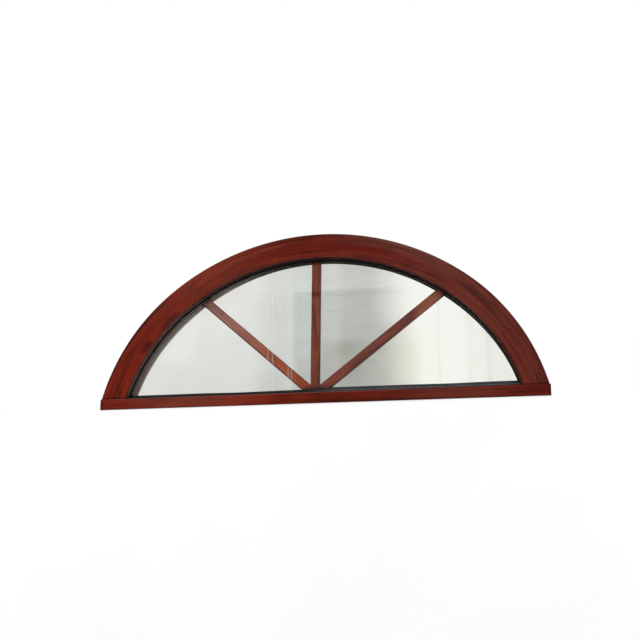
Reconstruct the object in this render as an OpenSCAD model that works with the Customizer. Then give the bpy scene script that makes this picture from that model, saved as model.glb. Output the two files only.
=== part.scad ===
// Fixed arched window: a hollow wood-look metal frame on a channel-shaped sill,
// closed by a sealed glass unit with three flat bars inside it.
// The photographed face looks along -Y, and the frame stands on z = 0.

/* [Overall] */
// Height from the underside of the sill to the crown of the arch
frame_height = 465; // [445:5:485]
// Depth of the frame from its front face to its back face
frame_depth = 65; // [63:1:72]
// How far the sill runs on past the foot of the arch at each end
sill_overhang = 2.7; // [2:0.1:8]

/* [Arch line] */
// Radius of the flat arc over the crown, at the outer edge
crown_radius = 655; // [640:5:680]
// Radius of the tighter arcs at the two haunches, at the outer edge
haunch_radius = 555; // [530:5:570]

/* [Hollow shells] */
// Width of the arch's front face
face_w = 65; // [62:1:72]
// Distance from the arch's outer edge to the floor of the glass rebate
rebate_at = 45; // [40:1:48]
// Height of the sill's front face
sill_h = 29; // [27:1:34]
// Height of the floor of the sill's glass channel
channel_floor = 14; // [12:1:15]
// Depth of the front and back shells
shell_d = 24; // [22:1:25]
// Thickness of the leg in front of the glass
leg_t = 15; // [13:1:16]
// Wall thickness of the hollow shells
wall_t = 2; // [1.6:0.1:2.4]
// Chamfer along the edges of the faces
edge_chamfer = 1; // [0.6:0.1:1.2]
// Thickness of the thermal break strips
strip_t = 2.5; // [2:0.1:3]
// How far the outer strip lies back from the outside of the frame
strip_inset = 1.5; // [1:0.1:2]
// Thickness of the caps on the sill's ends
end_cap_t = 3; // [2:0.5:4]

/* [Glass unit] */
// Thickness of each pane
pane_t = 6; // [5:0.5:6]
// Width of the space between the panes
cavity = 16; // [14:1:16]
// Distance from the arch's outer edge to the edge of the glass
glass_at = 53; // [50:1:56]
// Height of the glass above the floor of the sill's channel
block_h = 6; // [4:1:7]
// Length of each setting block
block_len = 100; // [60:5:140]
// Width of the sealant round the spacer
sealant_w = 8; // [6:1:9]
// Height of the spacer across its seat
spacer_w = 8; // [6:1:9]
// Height of the sealant under the spacer along the sill
sill_sealant_h = 15; // [14:1:17]

/* [Gaskets and bead] */
// Thickness of the gasket in front of the glass
front_gasket_t = 4; // [3:0.5:4.5]
// Thickness of the gasket behind the glass
back_gasket_t = 4; // [3:0.5:4.5]
// How far the gasket in front of the glass stands out past the arch's face
front_gasket_lip = 1.5; // [0.5:0.5:3]
// How far the gasket behind the glass stands out past the arch's face
back_gasket_lip = 3.5; // [1:0.5:4]
// Width of the gaskets
gasket_w = 10; // [8:1:11]
// How far the sill's gaskets stand above the sill
sill_gasket_lip = 7; // [5:1:9]
// How far the bead's face slopes back across its depth
bead_slope = 8; // [6:1:9]
// Wall thickness of the hollow bead
bead_wall = 1.5; // [1.2:0.1:1.6]

/* [Bars] */
// Width of each bar across its face
bar_w = 25; // [20:1:28]
// Thickness of each bar, front to back
bar_t = 10; // [8:0.5:11]
// Wall thickness of the hollow bars
bar_wall = 1; // [0.8:0.1:1.2]
// Width of the chamfer along the bars' edges
bar_chamfer = 3; // [2:0.5:3.5]
// Height at which the axes of the bars meet
hub_z = 28; // [24:1:32]
// Angle of the left bar from the level
left_bar_angle = 41; // [38:0.5:46]
// Angle of the right bar from the level
right_bar_angle = 38; // [36:0.5:44]

/* [Hidden] */

// Colours of the finishes
wood_face = [0.42, 0.14, 0.09];
wood_shade = [0.34, 0.11, 0.08];
rubber = [0.10, 0.10, 0.11];
polyamide = [0.16, 0.16, 0.17];
spacer_grey = [0.36, 0.35, 0.34];
glass_tint = [0.80, 0.86, 0.84, 0.45];

// Depths behind the front face, from the front to the back
outer_pane_d = leg_t + front_gasket_t;
cavity_d = outer_pane_d + pane_t;
inner_pane_d = cavity_d + cavity;
back_gasket_d = inner_pane_d + pane_t;
bead_d = back_gasket_d + back_gasket_t;
back_shell_d = frame_depth - shell_d;
bar_d = cavity_d + (cavity - bar_t) / 2;

// Distances inward from the arch's outer edge
spacer_at = glass_at + sealant_w;
spacer_inner = spacer_at + spacer_w;
front_gasket_at = face_w + front_gasket_lip - gasket_w;
back_gasket_at = face_w + back_gasket_lip - gasket_w;

// Heights above the underside of the sill
glass_z = channel_floor + block_h;
spacer_z = glass_z + sill_sealant_h;
spacer_top = spacer_z + spacer_w;
sill_gasket_top = sill_h + sill_gasket_lip;

// The arch line is three arcs that share a tangent where they meet: a crown arc
// and a tighter arc at each haunch. They meet on a line that leans 3 across for
// 4 up, so that all the centres fall on whole millimetres.
junction_angle = atan2(3, 4);
radius_step = crown_radius - haunch_radius;
crown_z = frame_height - crown_radius;
haunch_x = radius_step * 3 / 5;
haunch_z = crown_z + radius_step * 4 / 5;

// The arch springs from the sill's top, which sets the length of the sill
half_span = haunch_x + sqrt(pow(haunch_radius, 2) - pow(sill_h - haunch_z, 2));
sill_half = round(half_span + sill_overhang);
channel_half = sill_half - end_cap_t;

// Each arc is drawn a little too long, and flat cuts take off what runs over.
// The cuts leave a hair of overlap where two arcs meet, so that they fuse.
over_angle = 1;
over_length = 5;
arc_lap = 0.02;
foot_angle = asin((-over_length - haunch_z) / haunch_radius);
reach = 2 * crown_radius;
arch_facets = 240;

// Sections along the arch: x runs inward from the outer edge and
// y runs back from the front face

module front_shell_section() {
    difference() {
        polygon([
            [edge_chamfer, 0], [face_w - edge_chamfer, 0], [face_w, edge_chamfer],
            [face_w, leg_t], [rebate_at, leg_t], [rebate_at, shell_d],
            [0, shell_d], [0, edge_chamfer]
        ]);
        translate([wall_t, wall_t])
            square([rebate_at - 2 * wall_t, shell_d - 2 * wall_t]);
        translate([rebate_at, wall_t])
            square([face_w - rebate_at - wall_t, leg_t - 2 * wall_t]);
    }
}

module back_shell_section() {
    difference() {
        polygon([
            [0, back_shell_d], [rebate_at, back_shell_d], [rebate_at, frame_depth],
            [edge_chamfer, frame_depth], [0, frame_depth - edge_chamfer]
        ]);
        translate([wall_t, back_shell_d + wall_t])
            square([rebate_at - 2 * wall_t, shell_d - 2 * wall_t]);
    }
}

module strip_section(at)
    translate([at, shell_d])
        square([strip_t, back_shell_d - shell_d]);

module bead_section() {
    difference() {
        polygon([
            [rebate_at, bead_d], [face_w, bead_d],
            [face_w - bead_slope, frame_depth], [rebate_at, frame_depth]
        ]);
        polygon([
            [rebate_at + bead_wall, bead_d + bead_wall],
            [face_w - 2 * bead_wall, bead_d + bead_wall],
            [face_w - bead_slope - bead_wall, frame_depth - bead_wall],
            [rebate_at + bead_wall, frame_depth - bead_wall]
        ]);
    }
}

module gasket_section(at, depth, thickness)
    translate([at, depth])
        square([gasket_w, thickness]);

module cavity_section(from, width)
    translate([from, cavity_d])
        square([width, cavity]);

// One arc of the arch, turned so that a flat shape becomes a ring section:
// its x is the radius and its y is minus the depth from mid-frame
module arc_run(centre_x, centre_z, from, to)
    translate([centre_x, 0, centre_z])
        rotate([90, 0, 0])
            rotate_extrude(angle = to - from, start = from, $fn = arch_facets)
                children();

module section_at(radius)
    translate([radius, frame_depth / 2])
        rotate(180)
            children();

module both_sides()
    for (half = [0, 1])
        mirror([half, 0, 0])
            children();

// A block with one face on the line where the crown arc meets the right haunch:
// side 0 is past the line, and side 1 is before it
module junction_block(side, lap)
    translate([0, 0, crown_z])
        rotate([0, junction_angle, 0])
            mirror([side, 0, 0])
                translate([lap, -frame_depth, 0])
                    cube([reach, 2 * frame_depth, reach]);

// The three arcs, drawn from one shape for the crown and one for the haunches
module arch_arcs() {
    difference() {
        arc_run(0, crown_z, 90 - junction_angle - over_angle, 90 + junction_angle + over_angle)
            children(0);
        both_sides()
            junction_block(0, 0);
    }
    both_sides()
        difference() {
            arc_run(haunch_x, haunch_z, foot_angle, 90 - junction_angle + over_angle)
                children(1);
            junction_block(1, arc_lap);
        }
}

module arch_sweep()
    arch_arcs() {
        section_at(crown_radius) children();
        section_at(haunch_radius) children();
    }

// Everything lower than a level, with room to spare
module below(level)
    translate([-reach, -frame_depth, -reach])
        cube([2 * reach, 2 * frame_depth, reach + level]);

module arch_piece(foot) {
    difference() {
        arch_sweep() children();
        below(foot);
    }
}

// The whole area inside an offset of the arch line, as a flat slab
module fill_section(radius, near, far)
    translate([0, frame_depth / 2 - far])
        square([radius, far - near]);

module arch_fill(inset, near, far, foot) {
    difference() {
        arch_arcs() {
            fill_section(crown_radius - inset, near, far);
            fill_section(haunch_radius - inset, near, far);
        }
        below(foot);
    }
}

// A straight run between the end caps: x is the depth and y is the height
module sill_run()
    translate([-channel_half, -frame_depth / 2, 0])
        rotate([90, 0, 90])
            linear_extrude(2 * channel_half)
                children();

// Half of the channel: a leg beside the glass and a foot under it
module sill_shell_section(leg) {
    difference() {
        polygon([
            [edge_chamfer, 0], [shell_d, 0], [shell_d, channel_floor], [leg, channel_floor],
            [leg, sill_h], [edge_chamfer, sill_h], [0, sill_h - edge_chamfer], [0, edge_chamfer]
        ]);
        translate([wall_t, wall_t])
            square([leg - 2 * wall_t, sill_h - 2 * wall_t]);
        translate([leg, wall_t])
            square([shell_d - leg - wall_t, channel_floor - 2 * wall_t]);
    }
}

module sill_box(depth, thickness, from, to)
    sill_run()
        translate([depth, from])
            square([thickness, to - from]);

// A strip along the sill, as long as the arch line leaves room for
module sill_fitted(inset, depth, thickness, from, to) {
    intersection() {
        arch_fill(inset, depth, depth + thickness, from);
        sill_box(depth, thickness, from, to);
    }
}

// Frame

module arch_front_shell()
    color(wood_face) arch_piece(sill_h) front_shell_section();

module arch_back_shell()
    color(wood_shade) arch_piece(sill_h) back_shell_section();

module arch_outer_strip()
    color(polyamide) arch_piece(sill_h) strip_section(strip_inset);

module arch_inner_strip()
    color(polyamide) arch_piece(sill_h) strip_section(rebate_at - strip_t);

module sill_front_shell()
    color(wood_face) sill_run() sill_shell_section(leg_t);

module sill_back_shell()
    color(wood_shade) mirror([0, 1, 0]) sill_run() sill_shell_section(frame_depth - bead_d);

module sill_lower_strip()
    color(polyamide)
        sill_box(shell_d, back_shell_d - shell_d, strip_inset, strip_inset + strip_t);

module sill_upper_strip()
    color(polyamide)
        sill_box(shell_d, back_shell_d - shell_d, channel_floor - strip_t, channel_floor);

module end_cap(side)
    color(wood_face)
        translate([side * (sill_half - end_cap_t / 2) - end_cap_t / 2, -frame_depth / 2, 0])
            rotate([90, 0, 90])
                linear_extrude(end_cap_t)
                    polygon([
                        [edge_chamfer, 0], [frame_depth - edge_chamfer, 0],
                        [frame_depth, edge_chamfer], [frame_depth, sill_h - edge_chamfer],
                        [frame_depth - edge_chamfer, sill_h], [edge_chamfer, sill_h],
                        [0, sill_h - edge_chamfer], [0, edge_chamfer]
                    ]);

// Bead, gaskets and setting blocks

module arch_glazing_bead()
    color(wood_shade) arch_piece(sill_h) bead_section();

module arch_front_gasket()
    color(rubber)
        arch_piece(sill_gasket_top)
            gasket_section(front_gasket_at, leg_t, front_gasket_t);

module arch_back_gasket()
    color(rubber)
        arch_piece(sill_gasket_top)
            gasket_section(back_gasket_at, back_gasket_d, back_gasket_t);

module sill_gasket(at, depth, thickness)
    color(rubber) sill_fitted(at, depth, thickness, glass_z, sill_gasket_top);

module sill_front_gasket()
    sill_gasket(front_gasket_at, leg_t, front_gasket_t);

module sill_back_gasket()
    sill_gasket(back_gasket_at, back_gasket_d, back_gasket_t);

module setting_block(side)
    color(rubber)
        translate([side * sill_half / 2 - block_len / 2, outer_pane_d - frame_depth / 2, channel_floor])
            cube([block_len, back_gasket_d - outer_pane_d, block_h]);

// Sealed glass unit

module outer_pane()
    color(glass_tint) arch_fill(glass_at, outer_pane_d, cavity_d, glass_z);

module inner_pane()
    color(glass_tint) arch_fill(glass_at, inner_pane_d, back_gasket_d, glass_z);

module arch_spacer()
    color(spacer_grey) arch_piece(spacer_top) cavity_section(spacer_at, spacer_w);

module sill_spacer()
    color(spacer_grey) sill_fitted(spacer_at, cavity_d, cavity, spacer_z, spacer_top);

module arch_sealant()
    color(rubber) arch_piece(spacer_z) cavity_section(glass_at, sealant_w);

module sill_sealant()
    color(rubber) sill_fitted(glass_at, cavity_d, cavity, glass_z, spacer_z);

// Bars inside the glass unit, cut to the spacer and to the centre bar

module bar_outline(inset)
    polygon([for (corner = [
        [1, -1, 0, 1], [1, -1, 1, 0], [1, 1, 1, 0], [1, 1, 0, 1],
        [-1, 1, 0, 1], [-1, 1, 1, 0], [-1, -1, 1, 0], [-1, -1, 0, 1]
    ]) [
        corner[0] * (bar_t / 2 - inset - corner[3] * bar_chamfer / 2),
        corner[1] * (bar_w / 2 - inset - corner[2] * bar_chamfer)
    ]]);

module bar_run(angle)
    translate([0, bar_d + bar_t / 2 - frame_depth / 2, hub_z])
        rotate([0, -angle, 0])
            rotate([90, 0, 90])
                linear_extrude(reach)
                    difference() {
                        bar_outline(0);
                        bar_outline(bar_wall);
                    }

module fitted_bar(angle) {
    intersection() {
        bar_run(angle);
        arch_fill(spacer_inner, bar_d, bar_d + bar_t, spacer_top);
    }
}

module slanted_bar(angle) {
    difference() {
        fitted_bar(angle);
        translate([-bar_w / 2, -frame_depth / 2, 0])
            cube([bar_w, frame_depth, frame_height]);
    }
}

module centre_bar()
    color(wood_face) fitted_bar(90);

module left_bar()
    color(wood_face) slanted_bar(180 - left_bar_angle);

module right_bar()
    color(wood_face) slanted_bar(right_bar_angle);

arch_front_shell();
arch_back_shell();
arch_outer_strip();
arch_inner_strip();
sill_front_shell();
sill_back_shell();
sill_lower_strip();
sill_upper_strip();
end_cap(-1);  // left_end_cap
end_cap(1);  // right_end_cap
arch_glazing_bead();
arch_front_gasket();
arch_back_gasket();
sill_front_gasket();
sill_back_gasket();
setting_block(-1);  // left_setting_block
setting_block(1);  // right_setting_block
outer_pane();
inner_pane();
arch_spacer();
sill_spacer();
arch_sealant();
sill_sealant();
centre_bar();
left_bar();
right_bar();
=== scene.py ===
# %% [markdown]
# # An arched top window
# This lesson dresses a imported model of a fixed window: an arch that stands on a straight sill, a sealed
# glass unit, and three bars between its panes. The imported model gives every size. What is added here is
# what a drawing leaves out: softened edges, wood grain that follows the arch, rubber, and glass.

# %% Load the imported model
import math
import bmesh
import bpy
from mathutils import Matrix, Vector


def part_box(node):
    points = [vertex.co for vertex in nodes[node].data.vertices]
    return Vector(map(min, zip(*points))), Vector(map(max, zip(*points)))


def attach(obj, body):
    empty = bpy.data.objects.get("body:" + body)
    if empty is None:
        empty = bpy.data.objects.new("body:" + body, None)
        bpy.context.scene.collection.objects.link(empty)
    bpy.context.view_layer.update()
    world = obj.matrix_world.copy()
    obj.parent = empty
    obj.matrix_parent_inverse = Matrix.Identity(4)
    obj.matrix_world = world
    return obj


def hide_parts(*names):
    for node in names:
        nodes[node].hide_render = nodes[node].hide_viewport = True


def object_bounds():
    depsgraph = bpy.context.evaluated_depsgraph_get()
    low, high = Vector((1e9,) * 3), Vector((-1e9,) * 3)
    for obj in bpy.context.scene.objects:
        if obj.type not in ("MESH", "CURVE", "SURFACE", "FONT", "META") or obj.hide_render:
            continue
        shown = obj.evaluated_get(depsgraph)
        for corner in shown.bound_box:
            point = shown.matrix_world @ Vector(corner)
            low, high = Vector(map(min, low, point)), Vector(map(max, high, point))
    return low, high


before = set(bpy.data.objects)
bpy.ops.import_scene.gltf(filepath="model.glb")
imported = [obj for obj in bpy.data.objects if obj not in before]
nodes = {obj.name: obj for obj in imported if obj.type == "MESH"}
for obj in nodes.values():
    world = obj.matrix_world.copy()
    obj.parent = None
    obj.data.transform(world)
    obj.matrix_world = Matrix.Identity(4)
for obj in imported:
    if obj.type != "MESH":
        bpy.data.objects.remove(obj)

cad_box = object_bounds()
print("packed nodes:", len(nodes), "box in mm:", [round(1000 * value) for value in cad_box[1] - cad_box[0]])

# %% [markdown]
# ## The line of the arch
# The outer edge of the frame is three arcs that share a tangent where they meet: a wide crown arc and a
# tighter arc at each haunch. A bender makes such a profile in one length. The same three arcs are written
# here as one function of the angle from the vertical, so that every strip of the arch runs along it. A
# curve object with a bevel could do this as well, but it can't end on a level cut as these strips do.

# %% The three arcs
MM = 0.001
CROWN_RADIUS = 655 * MM
HAUNCH_RADIUS = 555 * MM
JUNCTION = math.atan2(3, 4)
CROWN_Z = cad_box[1].z - CROWN_RADIUS
HAUNCH_X = (CROWN_RADIUS - HAUNCH_RADIUS) * math.sin(JUNCTION)
HAUNCH_Z = CROWN_Z + (CROWN_RADIUS - HAUNCH_RADIUS) * math.cos(JUNCTION)
FRONT_Y = cad_box[0].y
FACE = 65
MID_FACE = FACE / 2 * MM


def arch_point(angle, inset, depth):
    """The place at an angle from the vertical, so far in from the outer edge and behind the front face."""
    side = math.copysign(1, angle)
    on_crown = abs(angle) <= JUNCTION
    radius = (CROWN_RADIUS if on_crown else HAUNCH_RADIUS) - inset
    centre_x = 0 if on_crown else side * HAUNCH_X
    centre_z = CROWN_Z if on_crown else HAUNCH_Z
    return (centre_x + radius * math.sin(angle), FRONT_Y + depth, centre_z + radius * math.cos(angle))


def length_along(angle):
    """How far along the middle of the face an angle is, from the crown."""
    crown_part = min(abs(angle), JUNCTION) * (CROWN_RADIUS - MID_FACE)
    haunch_part = max(abs(angle) - JUNCTION, 0) * (HAUNCH_RADIUS - MID_FACE)
    return math.copysign(crown_part + haunch_part, angle)


def foot_angle(inset, level):
    """The angle at which the line at an inset comes down to a level."""
    return math.acos((level - HAUNCH_Z) / (HAUNCH_RADIUS - inset))


SILL_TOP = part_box("sill_front_shell")[1].z
print("arch angle at the sill:", round(math.degrees(foot_angle(0, SILL_TOP)), 2))

# %% [markdown]
# ## Softened sections
# An aluminium profile has no knife edges: the die leaves a small radius at each corner, and the light
# that runs along that radius is what tells the eye that the edge is real. A bevel modifier could add it
# afterwards. Here each corner of a section is rounded before the section is swept, because then every
# corner can have its own radius and the grain coordinates stay exact.

# %% Round the corners of a section
CORNER_STEPS = 4


def softened(corners):
    """A closed section from corners of (x, y, radius) in millimetres, as points in metres."""
    points = []
    for index, (x, y, radius) in enumerate(corners):
        corner = Vector((x, y))
        before = Vector(corners[index - 1][:2]) - corner
        after = Vector(corners[(index + 1) % len(corners)][:2]) - corner
        if not radius:
            points.append(corner * MM)
            continue
        start = corner + before.normalized() * radius
        end = corner + after.normalized() * radius
        for step in range(CORNER_STEPS + 1):
            share = step / CORNER_STEPS
            bent = start * (1 - share) ** 2 + corner * 2 * share * (1 - share) + end * share ** 2
            points.append(bent * MM)
    return points


plain_square = [(0, 0, 1), (9, 0, 1), (9, 9, 1), (0, 9, 1)]
print("points of a plain square with four soft corners:", len(softened(plain_square)))

# %% [markdown]
# ## A skin over rings of points
# Every strip of this window is one section repeated along a line, so one function can skin them all. It
# joins ring to ring with four-sided faces and closes both ends. Beside each point it keeps a second
# vector, called grain: how far along the strip, how far across it and how deep the point is. The wood
# reads that vector, so its grain turns with the arch, as a film that is wrapped along a profile does.

# %% Skin rings of points
GRAIN = "grain"


def skinned(rings, grains):
    """A closed bmesh over rings of points, with the grain vector kept on its points."""
    shape = bmesh.new()
    layer = shape.verts.layers.float_vector.new(GRAIN)
    rows = []
    for ring, marks in zip(rings, grains):
        row = []
        for point, mark in zip(ring, marks):
            vert = shape.verts.new(point)
            vert[layer] = mark
            row.append(vert)
        rows.append(row)
    count = len(rows[0])
    for near, far in zip(rows, rows[1:]):
        for index in range(count):
            other = (index + 1) % count
            shape.faces.new((near[index], near[other], far[other], far[index]))
    shape.faces.new(rows[0][::-1])
    shape.faces.new(rows[-1])
    bmesh.ops.recalc_face_normals(shape, faces=shape.faces)
    return shape


triangle = ((0, 0), (1, 0), (0, 1))
tube_rings = [[(x, y, level) for x, y in triangle] for level in (0, 1)]
tube_shape = skinned(tube_rings, [[(0, 0, 0)] * 3] * 2)
print("faces of a plain three-sided tube:", len(tube_shape.faces))
tube_shape.free()

# %% Make a piece and give it its place
def as_object(name, shape):
    """A smooth-shaded object from a bmesh, with its flat faces kept flat."""
    mesh = bpy.data.meshes.new(name)
    shape.to_mesh(mesh)
    shape.free()
    mesh.shade_smooth()
    piece = bpy.data.objects.new(name, mesh)
    bpy.context.scene.collection.objects.link(piece)
    flat = piece.modifiers.new("keep_flats_flat", "WEIGHTED_NORMAL")
    flat.weight = 100
    return piece


def settle(piece, material, slot, *stands_for):
    """Gives a piece its finish and its place in the part."""
    piece.data.materials.append(material)
    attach(piece, "root")
    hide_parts(*stands_for)
    print(piece.name, "faces:", len(piece.data.polygons), "stands for:", ", ".join(stands_for))
    return piece


# %% [markdown]
# ## Strips that follow the arch
# The ends of an arched strip are cut level, to stand on the sill. So each point of the section has its
# own last angle, where its own line comes down to that level, and the rings fan out between the last
# angle and the junction of the arcs. That gives a flat end with no trimming afterwards.

# %% Sweep a section along the arch
HAUNCH_STEPS = 56
CROWN_STEPS = 100
SWELL_EDGE = 2 * MM


def arched(name, section, foot, swell=None):
    """A section of (inset, depth) points swept along the arch, with both ends cut at a level.

    swell gives, for an angle, how much further in and how much deeper the inner edge lies there.
    """
    def angle_at(zone, share, inset):
        if zone == 0:
            return JUNCTION * share
        reach = foot_angle(inset, foot)
        return zone * (reach + (JUNCTION - reach) * share)

    inner_edge = max(inset for inset, _ in section) - SWELL_EDGE
    stations = [(-1, step / HAUNCH_STEPS) for step in range(HAUNCH_STEPS)]
    stations += [(0, 2 * step / CROWN_STEPS - 1) for step in range(CROWN_STEPS)]
    stations += [(1, 1 - step / HAUNCH_STEPS) for step in range(HAUNCH_STEPS + 1)]
    rings = []
    grains = []
    for zone, share in stations:
        ring = []
        marks = []
        for inset, depth in section:
            angle = angle_at(zone, share, inset)
            inward, deeper = swell(angle) if swell and inset > inner_edge else (0, 0)
            angle = angle_at(zone, share, inset + inward)
            ring.append(arch_point(angle, inset + inward, depth + deeper))
            marks.append((length_along(angle), inset, depth))
        rings.append(ring)
        grains.append(marks)
    return as_object(name, skinned(rings, grains))


# %% [markdown]
# ## Strips that run straight
# The parts of the sill are the same idea along a straight line. A section is given as depth behind the
# front face and height above the ground. A strip that nobody sees bend needs rings only at its ends, but
# rubber that is pushed in by hand never lies quite straight, so a strip may also be given a wave.

# %% Sweep a section along the sill
def straight(name, section, start, end, steps=1, wave=None):
    """A section of (depth, height) points swept from start to end across the window."""
    rings = []
    grains = []
    for step in range(steps + 1):
        along = start + (end - start) * step / steps
        ring = []
        for depth, height in section:
            lift = wave(along, depth, height) if wave else 0
            ring.append((along, FRONT_Y + depth, height + lift))
        rings.append(ring)
        grains.append([(along, height, depth) for depth, height in section])
    return as_object(name, skinned(rings, grains))


# %% [markdown]
# ## Writing shaders as sums
# A procedural finish is a lot of small sums on masks. Written as nodes one by one, they hide what the
# finish does. This small class wraps a socket, so that an expression such as 1 - mask adds its own Math
# node. Colours and vectors go through Mix and Vector Math, and one method makes any other node.

# %% A socket that takes part in sums
class Wire:
    """A number that a node gives out."""

    def __init__(self, finish, socket):
        self.finish = finish
        self.socket = socket

    def worked(self, operation, *values, clamp=False):
        settings = {"operation": operation, "use_clamp": clamp}
        return self.finish.node("ShaderNodeMath", settings, dict(enumerate(values)))[0]

    def __add__(self, other):
        return self.worked("ADD", self, other)

    def __radd__(self, other):
        return self.worked("ADD", other, self)

    def __sub__(self, other):
        return self.worked("SUBTRACT", self, other)

    def __rsub__(self, other):
        return self.worked("SUBTRACT", other, self)

    def __mul__(self, other):
        return self.worked("MULTIPLY", self, other)

    def __rmul__(self, other):
        return self.worked("MULTIPLY", other, self)

    def absolute(self):
        return self.worked("ABSOLUTE", self)

    def root(self):
        return self.worked("SQRT", self)

    def clamped(self):
        return self.worked("ADD", self, 0, clamp=True)

    def rising(self, low, high):
        """0 below low, 1 above high, and a smooth rise between them. With low above high it falls."""
        settings = {"interpolation_type": "SMOOTHSTEP"}
        values = {"Value": self, "From Min": min(low, high), "From Max": max(low, high)}
        step = self.finish.node("ShaderNodeMapRange", settings, values)["Result"]
        return step if low < high else 1 - step

    def near(self, centre, reach):
        """1 at a value, falling to 0 at a distance from it."""
        return (self - centre).absolute().rising(reach, 0)


# %% A material that is built node by node
class Finish:
    """A node tree with short ways to fill it."""

    def __init__(self, name, owner=None):
        self.owner = owner or bpy.data.materials.new(name)
        self.owner.use_nodes = True
        self.tree = self.owner.node_tree
        self.tree.nodes.clear()

    def node(self, kind, settings=None, values=None):
        """Adds a node, with its settings before its values, and gives its outputs as wires."""
        made = self.tree.nodes.new(kind)
        for key, value in (settings or {}).items():
            if key == "stops":
                self.set_stops(made.color_ramp, value)
            else:
                setattr(made, key, value)
        for key, value in (values or {}).items():
            self.feed(made.inputs[key], value)
        wires = {socket.name: Wire(self, socket) for socket in made.outputs}
        wires.update({place: Wire(self, socket) for place, socket in enumerate(made.outputs)})
        return wires

    def set_stops(self, ramp, stops):
        while len(ramp.elements) < len(stops):
            ramp.elements.new(0.5)
        for element, (position, colour) in zip(ramp.elements, stops):
            element.position = position
            element.color = colour

    def feed(self, socket, value):
        if isinstance(value, Wire):
            self.tree.links.new(value.socket, socket)
        else:
            socket.default_value = value

    def grain(self, shift=(0, 0, 0)):
        """The grain vector of a piece, moved to another stretch of the pattern."""
        start = self.node("ShaderNodeAttribute", {"attribute_name": GRAIN})["Vector"]
        return self.node("ShaderNodeVectorMath", {"operation": "ADD"}, {0: start, 1: shift})[0]

    def place(self):
        """Where a point of the surface is at rest, in metres."""
        return self.node("ShaderNodeTexCoord")["Object"]

    def stretched(self, vector, factors):
        return self.node("ShaderNodeVectorMath", {"operation": "MULTIPLY"}, {0: vector, 1: factors})[0]

    def parts(self, vector):
        made = self.node("ShaderNodeSeparateXYZ", None, {0: vector})
        return made["X"], made["Y"], made["Z"]

    def joined(self, x, y, z):
        return self.node("ShaderNodeCombineXYZ", None, {0: x, 1: y, 2: z})[0]

    def noise(self, vector, scale=1.0, detail=3.0, twist=0.0):
        values = {"Vector": vector, "Scale": scale, "Detail": detail, "Roughness": 0.55, "Distortion": twist}
        return self.node("ShaderNodeTexNoise", None, values)["Fac"]

    def blend(self, factor, first, second):
        """A colour between two colours."""
        values = {0: factor, 6: first, 7: second}
        return self.node("ShaderNodeMix", {"data_type": "RGBA"}, values)[2]

    def dimmed(self, colour, factor):
        """A colour times a number."""
        settings = {"operation": "SCALE"}
        return self.node("ShaderNodeVectorMath", settings, {0: colour, "Scale": factor})[0]

    def bumped(self, height, strength, distance):
        values = {"Height": height, "Strength": strength, "Distance": distance}
        return self.node("ShaderNodeBump", None, values)["Normal"]

    def surface(self, values):
        """A Principled shader that the material shows."""
        shader = self.node("ShaderNodeBsdfPrincipled", None, values)["BSDF"]
        self.shown(shader)
        return self.owner

    def shown(self, shader):
        self.node("ShaderNodeOutputMaterial", None, {"Surface": shader})


def paint(red, green, blue):
    """A colour named as a paint chart does, from 0 to 255, as the light values that Blender uses."""
    shares = [value / 255 for value in (red, green, blue)]
    light = [share / 12.92 if share <= 0.04045 else ((share + 0.055) / 1.055) ** 2.4 for share in shares]
    return (*light, 1)


print("mid grey as light:", round(paint(128, 128, 128)[0], 3))

# %% [markdown]
# ## Mahogany film
# The frame isn't timber. It is aluminium with a printed film of mahogany: long streaks that follow the
# profile and a redder ground in the open faces. Painted light and shade lie on top of the print: the film
# is painted darker from left to right, and brown to black where it turns over an edge. An image of real
# wood could be wrapped round instead, but it would repeat and would stretch along the arch. Here four
# noises make the print: broad patches, streaks over twenty times longer than wide, short flames and
# hair-fine pores. All of them read the grain vector, so the streaks bend with the arch.

# %% The mahogany finish
PAINTED_SHEEN_COLOUR = (0.27, 0.16, 0.12, 1)
PAINTED_SHEEN_FADES = (0.020, 0.036)
SWAY = 0.022
HAIR = 120


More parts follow.
